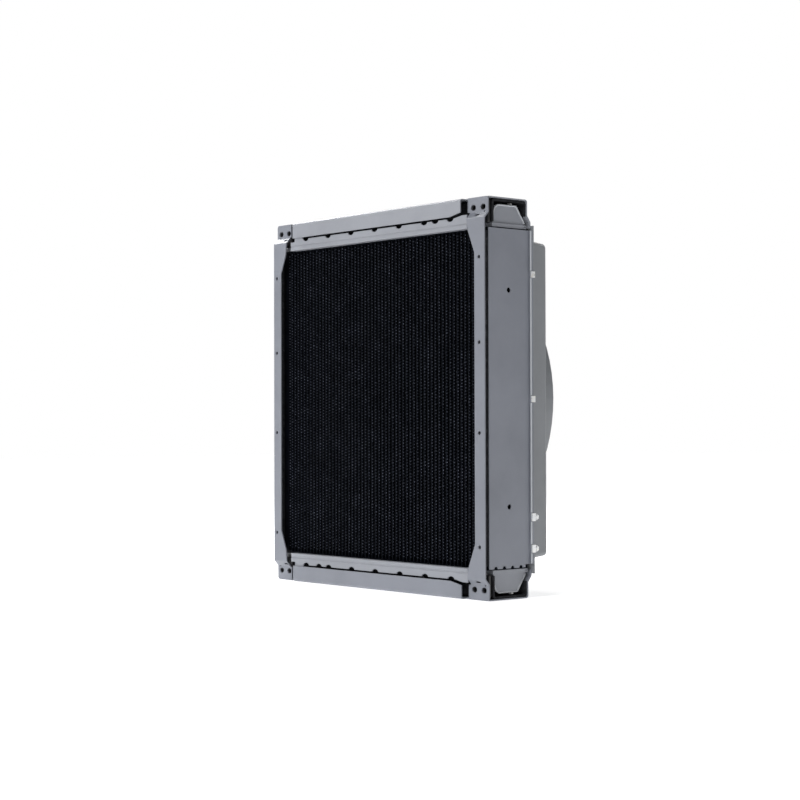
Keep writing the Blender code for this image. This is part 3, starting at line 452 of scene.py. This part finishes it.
def tube(points, radii, cyclic, sides=10):
    """Vertices and faces of a round tube along points, with a radius at each."""
    points = [Vector(p) for p in points]
    count = len(points)
    verts, faces = [], []
    side = None
    for i, point in enumerate(points):
        ahead = points[(i + 1) % count] if cyclic or i < count - 1 else point
        behind = points[i - 1] if cyclic or i else point
        way = (ahead - behind).normalized()
        if side is None:
            side = way.orthogonal().normalized()
        side = (side - way * side.dot(way)).normalized()
        over = way.cross(side)
        for k in range(sides):
            a = 2 * math.pi * k / sides
            verts.append(point + radii[i] * (math.cos(a) * side + math.sin(a) * over))
    shift = 0
    if cyclic:
        first = verts[0] - points[0]
        last = [verts[(count - 1) * sides + k] - points[-1] for k in range(sides)]
        shift = max(range(sides), key=lambda k: first.dot(last[k]))
    for i in range(count if cyclic else count - 1):
        step = shift if i == count - 1 else 0
        for k in range(sides):
            low, high = i * sides + (k + step) % sides, i * sides + (k + 1 + step) % sides
            j = ((i + 1) % count) * sides
            faces.append((low, high, j + (k + 1) % sides, j + k))
    if not cyclic:
        faces.append(tuple(reversed(range(sides))))
        faces.append(tuple(range((count - 1) * sides, count * sides)))
    return verts, faces


def gather(parts):
    """One vertex list and one face list from several."""
    verts, faces = [], []
    for more_verts, more_faces in parts:
        base = len(verts)
        verts += more_verts
        faces += [tuple(base + i for i in face) for face in more_faces]
    return verts, faces


def ring_points(radius, y, count):
    """Points in a circle round the fan's axis."""
    turns = [2 * math.pi * i / count for i in range(count)]
    return [(radius * math.sin(a), y, FAN_CENTRE_Z + radius * math.cos(a)) for a in turns]


# ---------------------------------------------------------------- core

def fin_column(index, x, half_wide, low, high, rng):
    """One corrugated fin: a thin strip folded up and down between two tubes, with rounded crests.

    Returns where its crests meet the tubes, for the braze fillets.
    """
    y0, y1 = low.y - FIN_PROUD, high.y - FIN_SHORT
    bottom, top = low.z + FIN_END_GAP, high.z - FIN_END_GAP
    leg = FIN_PITCH / 2
    legs = int((top - bottom) / leg) - 1
    start = bottom + leg * (0.7 + index % 2 + 0.25 * rng.random())
    drift = 0.0006 * rng.random()
    waves = 1.5 + 3 * rng.random()
    bend = leg / 2
    reach = half_wide - bend - FIN_THICK / 2
    path = []
    crests = []
    side = 1
    for k in range(legs):
        fade = min(1, k / 8, (legs - k) / 8)
        z = start + leg * k + drift * math.sin(waves * k * 2 * math.pi / legs) * fade
        out = reach + rng.normal(0, 0.00010)
        if z + leg > top:
            break
        for turn in np.linspace(-90, 90, 5):
            a = math.radians(turn)
            path.append((x + side * (out + bend * math.cos(a)), z + bend + bend * math.sin(a)))
        crests.append((x + side * half_wide, z + bend, side))
        side = -side
    line = np.array(path)
    way = np.gradient(line, axis=0)
    way /= np.linalg.norm(way, axis=1, keepdims=True)
    normal = np.stack([-way[:, 1], way[:, 0]], axis=1) * (FIN_THICK / 2)
    count = len(line)
    front = y0 + rng.normal(0, 0.00025, count)
    verts = np.empty((count, 4, 3))
    for corner, (sign, depth) in enumerate(((1, front), (-1, front), (-1, y1), (1, y1))):
        verts[:, corner, 0] = line[:, 0] + sign * normal[:, 0]
        verts[:, corner, 1] = depth
        verts[:, corner, 2] = line[:, 1] + sign * normal[:, 1]
    faces = []
    for i in range(count - 1):
        a, b = 4 * i, 4 * (i + 1)
        faces += [(a + c, b + c, b + (c + 1) % 4, a + (c + 1) % 4) for c in range(4)]
    faces += [(0, 1, 2, 3), (4 * count - 1, 4 * count - 2, 4 * count - 3, 4 * count - 4)]
    mesh = mesh_of("fin_column_%02d" % index, verts.reshape(-1, 3), faces, 50)
    piece("fin_column_%02d" % index, mesh, "fin_black", replaced=["fin_pack"])
    return crests


def braze_fillets(crests, front_y):
    """A small dome of braze metal at the front of each place where a crest meets a tube, in a paler black
    that paints the glint of the crest.
    """
    rng = np.random.default_rng(23)
    sides = 6
    turns = [2 * math.pi * k / sides for k in range(sides)]
    foot_y, crown_y = front_y + FILLET_SINK, front_y - 0.0003
    parts = []
    for x, z, side in crests:
        size = FILLET_R * (1 + 0.18 * rng.normal())
        middle = x + side * FILLET_SET
        ring = [(middle + size * math.cos(a), foot_y, z + size * 1.1 * math.sin(a)) for a in turns]
        rim = [(middle + size * 0.6 * math.cos(a), crown_y, z + size * 0.66 * math.sin(a)) for a in turns]
        faces = [(k, (k + 1) % sides, sides + (k + 1) % sides, sides + k) for k in range(sides)]
        faces += [tuple(range(sides - 1, -1, -1)), tuple(range(sides, 2 * sides))]
        parts.append((ring + rim, faces))
    mesh = mesh_of("braze_fillets", *gather(parts), 80)
    piece("braze_fillets", mesh, "core_black", look="fillet")


def fin_columns():
    """A fin column in each gap between tubes, and one on each side of the bank."""
    low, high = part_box("fin_pack")
    rng = np.random.default_rng(7)
    gap = TUBE_PITCH - TUBE_WIDE
    crests = []
    for i in range(TUBES + 1):
        x = TUBE_PITCH * (i - TUBES / 2)
        inner = gap / 2 - FIN_TUBE_GAP
        if i in (0, TUBES):
            x += math.copysign(EDGE_FIN_TRIM, -x)
            inner -= EDGE_FIN_TRIM
        crests += fin_column(i + 1, x, inner, low, high, rng)
    braze_fillets(crests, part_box("tube_bank")[0].y - 0.0002)


def tube_noses():
    """Rounded noses along the front and back edges of the flat tubes."""
    low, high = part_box("tube_bank")
    fin_low, fin_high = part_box("fin_pack")
    half = TUBE_WIDE / 2
    steps = 6
    n = steps + 1
    turns = [math.pi * k / steps for k in range(n)]
    parts = []
    for i in range(TUBES):
        x = TUBE_PITCH * (i - (TUBES - 1) / 2)
        for y, way in ((low.y, -1), (fin_high.y - NOSE_BACK, 1)):
            ring = [(x + half * math.cos(a), y + way * half * 0.9 * math.sin(a)) for a in turns]
            verts = [(px, py, z) for z in (fin_low.z, fin_high.z) for px, py in ring]
            faces = [(k, k + 1, n + k + 1, n + k) for k in range(steps)]
            faces += [tuple(range(n)), tuple(range(2 * n - 1, n - 1, -1)), (0, n, 2 * n - 1, n - 1)]
            parts.append((verts, faces))
    mesh = mesh_of("tube_noses", *gather(parts), 40)
    work = bmesh.new()
    work.from_mesh(mesh)
    bmesh.ops.recalc_face_normals(work, faces=work.faces)
    work.to_mesh(mesh)
    work.free()
    piece("tube_noses", mesh, "core_black")


# ---------------------------------------------------------------- welds

def weld_bead(name, points, radius, cyclic, seed, slot="grey_paint", look="painted_highlight_grey_paint"):
    """A bead of weld: a rippled, uneven rope of metal, by default in the much paler grey that paints a
    highlight along it.
    """
    rng = np.random.default_rng(seed)
    dense = []
    count = len(points)
    for i in range(count if cyclic else count - 1):
        a, b = Vector(points[i]), Vector(points[(i + 1) % count])
        parts = max(1, int((b - a).length / WELD_STEP))
        dense += [a.lerp(b, k / parts) for k in range(parts)]
    if not cyclic:
        dense.append(Vector(points[-1]))
    radii = []
    for k in range(len(dense)):
        ripple = 0.5 + 0.5 * math.sin(k * 2 * math.pi / 4)
        radii.append(radius * (0.86 + 0.14 * ripple + 0.05 * rng.normal()))
    verts, faces = tube(dense, radii, cyclic, 8)
    piece(name, mesh_of(name, verts, faces, 60), slot, look=look)


def welds():
    """Beads round the tanks' end plates, and one where the fan ring meets the shroud."""
    for end, way in (("top", 1), ("bottom", -1)):
        for side, sign in (("left", -1), ("right", 1)):
            low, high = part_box("%s_tank_end_%s" % (end, side))
            x = (high.x if sign > 0 else low.x) - sign * TANK_WELD_SINK
            line = [(x, y + SHIFT_Y, way * z + SHIFT_Z) for y, z in TANK_END_OUTLINE]
            # The tank-end beads wear the paler grey: a painted highlight along the welds.
            weld_bead("weld_%s_%s" % (end, side), line, TANK_WELD_R, False, 11 + len(end) + sign)
    radius, y = RING_WELD
    weld_bead("ring_weld", ring_points(radius, y + SHIFT_Y, 160), RING_WELD_R, True, 5, "shroud_paint",
              "shroud_paint")


# ---------------------------------------------------------------- hems and dark slot fillers (painted shade)

def hems():
    """The rolled safe edge of each side panel's rear flange, between the clips, in the much paler grey
    that paints a highlight along it.
    """
    for side, sign in (("left", -1), ("right", 1)):
        low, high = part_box("side_panel_" + side)
        clips = [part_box("flange_clip_%s_%d" % (side, number)) for number in range(1, 5)]
        x, y = sign * HEM_X, high.y - SHEET - HEM_R * 0.8
        stops = [low.z + HEM_FOOT_GAP]
        for clip_low, clip_high in sorted(clips, key=lambda box: box[0].z):
            stops += [clip_low.z - HEM_CLIP_GAP, clip_high.z + HEM_CLIP_GAP]
        stops.append(high.z - HEM_TOP_GAP)
        parts = []
        for start, end in zip(stops[::2], stops[1::2]):
            parts.append(tube([(x, y, start), (x, y, end)], [HEM_R] * 2, False, 12))
        mesh = mesh_of("panel_hem_" + side, *gather(parts), 50)
        piece("panel_hem_" + side, mesh, "grey_paint", look="painted_highlight_grey_paint")


def slot_shade_fillers():
    """Black foam filling the slot between each front strip and its side panel: painted shade, a dark
    block where the open gap lies only in shade.
    """
    for side, sign in (("left", -1), ("right", 1)):
        y0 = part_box("front_strip_" + side)[0].y + SHEET + SHADE_FILLER_GAP
        y1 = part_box("side_panel_" + side)[0].y - SHADE_FILLER_GAP
        x0, x1 = sorted((sign * SHADE_FILLER_X[0], sign * SHADE_FILLER_X[1]))
        z0, z1 = SHIFT_Z - SHADE_FILLER_HALF, SHIFT_Z + SHADE_FILLER_HALF
        verts = [(x, y, z) for z in (z0, z1) for x, y in ((x0, y0), (x1, y0), (x1, y1), (x0, y1))]
        faces = [(3, 2, 1, 0), (4, 5, 6, 7), (0, 1, 5, 4), (1, 2, 6, 5), (2, 3, 7, 6), (3, 0, 4, 7)]
        piece("slot_shade_filler_" + side, mesh_of("slot_shade_filler_" + side, verts, faces), "foam_black")


# ---------------------------------------------------------------- guard wires and screws

def guard_wires():
    """Round wires in rings, welded to radial wires, in place of the plain grille."""
    low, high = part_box("fan_guard")
    y = (low.y + high.y) / 2
    outer = (high.x - low.x) / 2 - WIRE_R
    parts = []
    for i in range(GUARD_RINGS):
        radius = GUARD_INNER + (outer - GUARD_INNER) * i / (GUARD_RINGS - 1)
        thick = WIRE_R * (1.25 if i in (0, GUARD_RINGS - 1) else 1.0)
        parts.append(tube(ring_points(radius, y - WIRE_R * 0.6, 96), [thick] * 96, True, 8))
    for i in range(GUARD_SPOKES):
        a = 2 * math.pi * (i + 0.5) / GUARD_SPOKES
        ends = [(r * math.sin(a), y + WIRE_R * 0.6, FAN_CENTRE_Z + r * math.cos(a))
                for r in (GUARD_INNER, outer)]
        parts.append(tube(ends, [WIRE_R, WIRE_R], False, 8))
    mesh = mesh_of("guard_wires", *gather(parts), 50)
    piece("guard_wires", mesh, "black_steel", replaced=["fan_guard"])


def cap_screw(centre, radius, height, sides=24):
    """A cap screw facing +Y: a rounded head with a hexagonal socket."""
    work = bmesh.new()
    turns = [2 * math.pi * k / sides for k in range(sides)]
    rings = [(radius, 0.0), (radius, height * 0.82), (radius * 0.86, height), (radius * 0.62, height)]
    loops = []
    for r, y in rings:
        loops.append([work.verts.new((r * math.cos(a), y, r * math.sin(a))) for a in turns])
    for depth in (height, height * 0.45):
        loop = []
        for a in turns:
            hexed = radius * 0.50 / math.cos((a + math.pi / 6) % (math.pi / 3) - math.pi / 6)
            loop.append(work.verts.new((hexed * math.cos(a), depth, hexed * math.sin(a))))
        loops.append(loop)
    for first, second in zip(loops, loops[1:]):
        for k in range(sides):
            work.faces.new((first[k], first[(k + 1) % sides], second[(k + 1) % sides], second[k]))
    work.faces.new(loops[-1])
    work.faces.new(loops[0][::-1])
    bmesh.ops.translate(work, vec=centre, verts=work.verts)
    bmesh.ops.recalc_face_normals(work, faces=work.faces)
    return work


def screws(name, node, layout):
    """Four cap screws on the rear face of a motor part, at the corners of a rectangle round the axis."""
    across, up, radius, height = layout
    low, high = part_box(node)
    z = (low.z + high.z) / 2
    whole = bmesh.new()
    for centre in [(sx * across, high.y, z + sz * up) for sx in (1, -1) for sz in (1, -1)]:
        one = cap_screw(centre, radius, height)
        mesh = bpy.data.meshes.new(name + "_one")
        one.to_mesh(mesh)
        one.free()
        whole.from_mesh(mesh)
    mesh = bpy.data.meshes.new(name)
    whole.to_mesh(mesh)
    whole.free()
    mesh.shade_smooth()
    mesh.set_sharp_from_angle(angle=math.radians(35))
    piece(name, mesh, "zinc")


# ---------------------------------------------------------------- build

add_camera()
add_world()
add_sun("key", (-0.12, 0.72, -0.85), 1.50, 24)
add_area("left_box", (-2.5, 0.0, 2.45), (-0.1, 0, 0.40), (1.0, 1.0), 62)
add_area("front_box", (1.6, -3.4, 1.0), (0.1, 0, 0.38), (1.6, 1.6), 6)
add_area("corner_box", (-0.9, -0.9, 1.1), (-0.25, -0.05, 0.68), (0.5, 0.5), 2.4)
add_area("back_box", (-0.8, 3.2, 1.9), (0, 0, 0.38), (1.6, 1.2), 45)
add_floor()
scene.view_settings.view_transform = "Standard"
dress_cad_nodes()
fin_columns()
tube_noses()
welds()
hems()
slot_shade_fillers()
guard_wires()
screws("rear_cover_screws", "motor_rear_cover", COVER_SCREWS)
screws("motor_flange_screws", "motor_front_cover", FLANGE_SCREWS)
